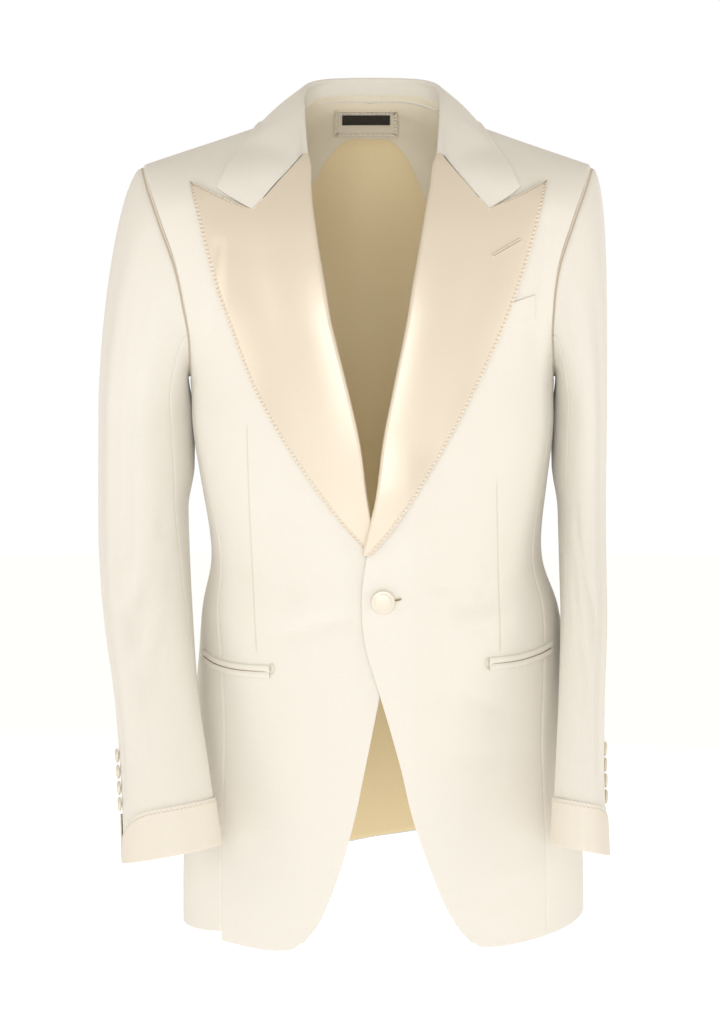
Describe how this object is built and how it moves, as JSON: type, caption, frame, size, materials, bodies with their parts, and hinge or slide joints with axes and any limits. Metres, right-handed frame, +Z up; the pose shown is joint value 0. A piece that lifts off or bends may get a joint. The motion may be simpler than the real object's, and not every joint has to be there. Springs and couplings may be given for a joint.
{
  "type": "tuxedo jacket",
  "caption": "Ivory evening jacket with satin peak lapels and turned-back cuffs, in its worn shape with open neck, sleeves and hem.",
  "frame": {"origin": "between the two points where the shoulder seams meet the neck, where the wearer's shoulders hold the jacket", "axes": "+Z up from hem to collar, +Y from the front to the back, +X from the wearer's right to the wearer's left"},
  "size_m": [0.4879, 0.3327, 0.8248],
  "materials": {
    "wool": "matte ivory wool crepe",
    "satin": "soft pinkish ivory satin",
    "lining": "olive tan satin lining",
    "label": "plain black woven label"
  },
  "bodies": {
    "root": {"front_right": "wool", "side_right": "wool", "back_right": "wool", "front_left": "wool", "side_left": "wool", "back_left": "wool", "collar": "wool", "sleeve_top_right": "wool", "sleeve_under_right": "wool", "sleeve_top_left": "wool", "sleeve_under_left": "wool", "pocket_right": "wool", "pocket_left": "wool", "breast_welt": "wool", "neck_patch": "wool", "lapel_right": "satin", "lapel_left": "satin", "cuff_right": "satin", "cuff_left": "satin", "front_button": "satin", "sleeve_button_right_1": "satin", "sleeve_button_right_2": "satin", "sleeve_button_right_3": "satin", "sleeve_button_right_4": "satin", "sleeve_button_left_1": "satin", "sleeve_button_left_2": "satin", "sleeve_button_left_3": "satin", "sleeve_button_left_4": "satin", "back_lining": "lining", "neck_label": "label"}
  },
  "joints": []
}
